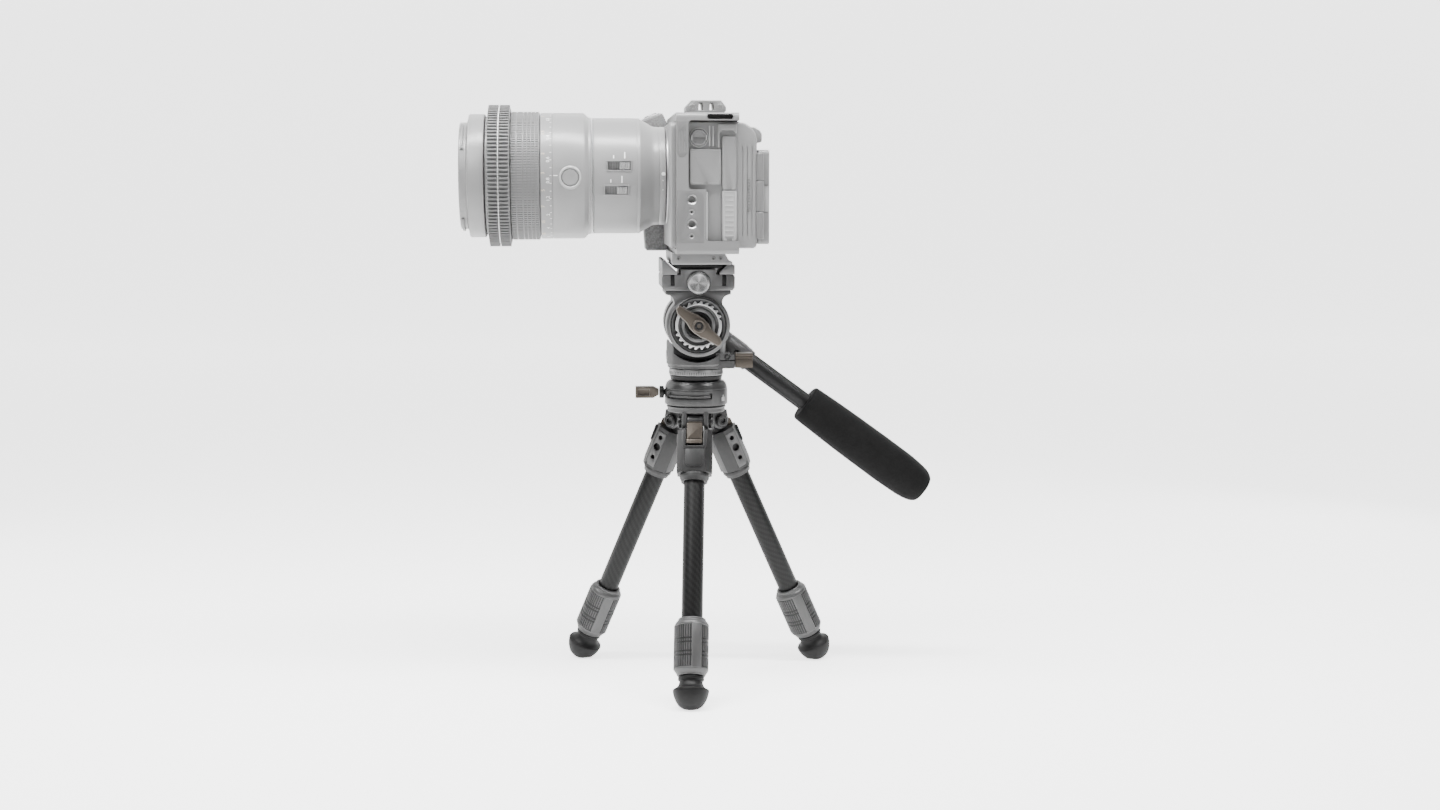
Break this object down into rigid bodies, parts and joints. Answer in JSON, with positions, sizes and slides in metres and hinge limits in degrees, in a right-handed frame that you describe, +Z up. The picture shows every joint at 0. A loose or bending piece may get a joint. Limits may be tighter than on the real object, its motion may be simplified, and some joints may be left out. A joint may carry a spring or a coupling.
{
  "type": "film camera on tripod",
  "caption": "Caged cine-style camera with a long macro lens and follow-focus gear ring on a folding table tripod with a fluid pan and tilt head.",
  "frame": {"origin": "middle of the bounding box's bottom face, where the feet stand", "axes": "+Z up; the lens looks towards -X; -Y is the camera's left side, where the port doors are"},
  "size_m": [0.302, 0.1652, 0.3666],
  "materials": {
    "pale_body": "fine matt paint on a light alloy, pale grey",
    "pale_lens": "satin painted barrel, pale grey",
    "pale_rubber": "ribbed rubber, pale grey",
    "glass": "coated optical glass",
    "grey_alloy": "fine blasted grey anodised aluminium",
    "dark_alloy": "dark grey anodised aluminium",
    "silver_alloy": "bright turned aluminium",
    "bronze_alloy": "warm brown anodised aluminium",
    "black_alloy": "black anodised aluminium",
    "bolt_steel": "black oxide socket bolts",
    "carbon": "carbon fibre weave under satin lacquer",
    "foot_rubber": "moulded black rubber",
    "grip_foam": "soft black foam rubber sleeve"
  },
  "bodies": {
    "root": {"leg_hub": "grey_alloy", "bowl_housing": "grey_alloy", "head_base": "black_alloy", "pan_scale_ring": "silver_alloy", "pivot_bolt_front": "bolt_steel", "pivot_bolt_right": "bolt_steel", "pivot_bolt_left": "bolt_steel"},
    "bowl_knob": {"bowl_lock_knob": "bronze_alloy"},
    "pan": {"pan_housing": "dark_alloy", "tilt_axle": "silver_alloy"},
    "pan_knob": {"pan_lock_knob": "bronze_alloy"},
    "tilt": {"tilt_platform": "grey_alloy", "ratchet_ring": "silver_alloy", "clamp_base": "grey_alloy", "handle_socket": "grey_alloy", "handle_rod": "black_alloy", "handle_grip": "grip_foam", "camera_plate": "black_alloy", "camera_cage": "pale_body", "cage_top_rail": "pale_body", "camera_body": "pale_body", "handgrip": "pale_rubber", "lens_rear_barrel": "pale_lens", "lens_front_barrel": "pale_lens", "filter_ring": "pale_lens", "front_element": "glass"},
    "tilt_lever": {"tilt_lever": "bronze_alloy"},
    "clamp_knob": {"clamp_knob": "silver_alloy"},
    "jaw_left": {"clamp_jaw_left": "grey_alloy"},
    "jaw_right": {"clamp_jaw_right": "grey_alloy"},
    "focus": {"focus_ring": "pale_rubber", "focus_gear_ring": "pale_rubber"},
    "hold_button": {"focus_hold_button": "pale_lens"},
    "range_switch": {"range_switch": "pale_lens"},
    "stabiliser_switch": {"stabiliser_switch": "pale_lens"},
    "shutter": {"shutter_button": "pale_body"},
    "door_front": {"port_door_front": "pale_body"},
    "door_upper": {"port_door_upper": "pale_body"},
    "door_lower": {"port_door_lower": "pale_body"},
    "screen": {"rear_screen": "pale_body", "screen_hinge": "pale_body"},
    "leg_front": {"leg_shoulder_front": "grey_alloy", "leg_tube_front": "carbon"},
    "tab_front": {"angle_lock_tab_front": "bronze_alloy"},
    "lock_front": {"twist_lock_front": "grey_alloy"},
    "inner_front": {"inner_leg_front": "carbon", "foot_front": "foot_rubber"},
    "leg_right": {"leg_shoulder_right": "grey_alloy", "leg_tube_right": "carbon"},
    "tab_right": {"angle_lock_tab_right": "bronze_alloy"},
    "lock_right": {"twist_lock_right": "grey_alloy"},
    "inner_right": {"inner_leg_right": "carbon", "foot_right": "foot_rubber"},
    "leg_left": {"leg_shoulder_left": "grey_alloy", "leg_tube_left": "carbon"},
    "tab_left": {"angle_lock_tab_left": "bronze_alloy"},
    "lock_left": {"twist_lock_left": "grey_alloy"},
    "inner_left": {"inner_leg_left": "carbon", "foot_left": "foot_rubber"}
  },
  "joints": [
    {"name": "leg_fold_front", "type": "hinge", "parent": "root", "child": "leg_front", "pos_m": [-0.00494, 0.00321, 0.1653], "axis": [0.9954, -0.0958, 0], "range_deg": [-15, 25]},
    {"name": "tab_press_front", "type": "hinge", "parent": "leg_front", "child": "tab_front", "pos_m": [-0.00565, -0.00419, 0.16556], "axis": [-0.9954, 0.0958, 0], "range_deg": [0, 18], "stiffness_Nm_per_rad": 0.02, "springref_deg": -8.59},
    {"name": "lock_twist_front", "type": "hinge", "parent": "leg_front", "child": "lock_front", "pos_m": [-0.01099, -0.05961, 0.03475], "axis": [-0.0417, -0.4332, -0.9003], "range_deg": [0, 90]},
    {"name": "leg_extend_front", "type": "slide", "parent": "leg_front", "child": "inner_front", "axis": [-0.0417, -0.4332, -0.9003], "range_m": [0, 0.055]},
    {"name": "leg_fold_right", "type": "hinge", "parent": "root", "child": "leg_right", "pos_m": [0.00864, 0.02224, 0.1653], "axis": [-0.4147, 0.91, 0], "range_deg": [-15, 25]},
    {"name": "tab_press_right", "type": "hinge", "parent": "leg_right", "child": "tab_right", "pos_m": [0.0154, 0.02532, 0.16556], "axis": [0.4147, -0.91, 0], "range_deg": [0, 18], "stiffness_Nm_per_rad": 0.02, "springref_deg": -8.59},
    {"name": "lock_twist_right", "type": "hinge", "parent": "leg_right", "child": "lock_right", "pos_m": [0.06607, 0.04841, 0.03475], "axis": [0.396, 0.1805, -0.9003], "range_deg": [0, 90]},
    {"name": "leg_extend_right", "type": "slide", "parent": "leg_right", "child": "inner_right", "axis": [0.396, 0.1805, -0.9003], "range_m": [0, 0.055]},
    {"name": "leg_fold_left", "type": "hinge", "parent": "root", "child": "leg_left", "pos_m": [-0.01464, 0.02448, 0.1653], "axis": [-0.5807, -0.8141, 0], "range_deg": [-15, 25]},
    {"name": "tab_press_left", "type": "hinge", "parent": "leg_left", "child": "tab_left", "pos_m": [-0.02068, 0.0288, 0.16556], "axis": [0.5807, 0.8141, 0], "range_deg": [0, 18], "stiffness_Nm_per_rad": 0.02, "springref_deg": -8.59},
    {"name": "lock_twist_left", "type": "hinge", "parent": "leg_left", "child": "lock_left", "pos_m": [-0.06601, 0.06113, 0.03475], "axis": [-0.3543, 0.2527, -0.9003], "range_deg": [0, 90]},
    {"name": "leg_extend_left", "type": "slide", "parent": "leg_left", "child": "inner_left", "axis": [-0.3543, 0.2527, -0.9003], "range_m": [0, 0.055]},
    {"name": "bowl_knob_turn", "type": "hinge", "parent": "root", "child": "bowl_knob", "pos_m": [-0.03365, 0.01664, 0.1836], "axis": [-1, 0, 0], "range_deg": [-90, 90]},
    {"name": "pan", "type": "hinge", "parent": "root", "child": "pan", "pos_m": [-0.00364, 0.01664, 0.1993], "axis": [0, 0, 1], "continuous": true},
    {"name": "pan_knob_turn", "type": "hinge", "parent": "pan", "child": "pan_knob", "pos_m": [0.02635, 0.01064, 0.2042], "axis": [1, 0, 0], "range_deg": [-90, 90]},
    {"name": "tilt", "type": "hinge", "parent": "pan", "child": "tilt", "pos_m": [-0.00364, 0.01664, 0.2277], "axis": [0, 1, 0], "range_deg": [-60, 12]},
    {"name": "tilt_lever_turn", "type": "hinge", "parent": "pan", "child": "tilt_lever", "pos_m": [-0.00364, -0.01336, 0.2277], "axis": [0, 1, 0], "range_deg": [-45, 45]},
    {"name": "clamp_release", "type": "slide", "parent": "tilt", "child": "clamp_knob", "axis": [0, 1, 0], "range_m": [0, 0.0025], "stiffness_N_per_m": 800, "springref_m": -0.002},
    {"name": "jaw_left_slide", "type": "slide", "parent": "tilt", "child": "jaw_left", "axis": [-1, 0, 0], "range_m": [0, 0.0015]},
    {"name": "jaw_right_slide", "type": "slide", "parent": "tilt", "child": "jaw_right", "axis": [1, 0, 0], "range_m": [0, 0.0015]},
    {"name": "focus_turn", "type": "hinge", "parent": "tilt", "child": "focus", "pos_m": [-0.11865, 0.01664, 0.3205], "axis": [-1, 0, 0], "range_deg": [-75, 75]},
    {"name": "hold_press", "type": "slide", "parent": "tilt", "child": "hold_button", "axis": [0, 1, 0], "range_m": [0, 0.0008], "stiffness_N_per_m": 500, "springref_m": -0.001},
    {"name": "range_slide", "type": "slide", "parent": "tilt", "child": "range_switch", "axis": [-1, 0, 0], "range_m": [0, 0.0065]},
    {"name": "stabiliser_slide", "type": "slide", "parent": "tilt", "child": "stabiliser_switch", "axis": [-1, 0, 0], "range_m": [0, 0.0065]},
    {"name": "shutter_press", "type": "slide", "parent": "tilt", "child": "shutter", "axis": [0.3584, 0, -0.9336], "range_m": [0, 0.001], "stiffness_N_per_m": 500, "springref_m": -0.001},
    {"name": "door_front_swing", "type": "hinge", "parent": "tilt", "child": "door_front", "pos_m": [-0.01064, -0.04596, 0.325], "axis": [0, 0, -1], "range_deg": [0, 95]},
    {"name": "door_upper_swing", "type": "hinge", "parent": "tilt", "child": "door_upper", "pos_m": [0.01735, -0.04596, 0.328], "axis": [0, 0, 1], "range_deg": [0, 95]},
    {"name": "door_lower_swing", "type": "hinge", "parent": "tilt", "child": "door_lower", "pos_m": [0.01735, -0.04596, 0.296], "axis": [0, 0, 1], "range_deg": [0, 95]},
    {"name": "screen_swing", "type": "hinge", "parent": "tilt", "child": "screen", "pos_m": [0.03155, -0.04256, 0.308], "axis": [0, 0, -1], "range_deg": [0, 175]}
  ],
  "couplings": [
    {"joint": "jaw_left_slide", "follows": "clamp_release", "ratio": 0.6},
    {"joint": "jaw_right_slide", "follows": "clamp_release", "ratio": 0.6}
  ]
}
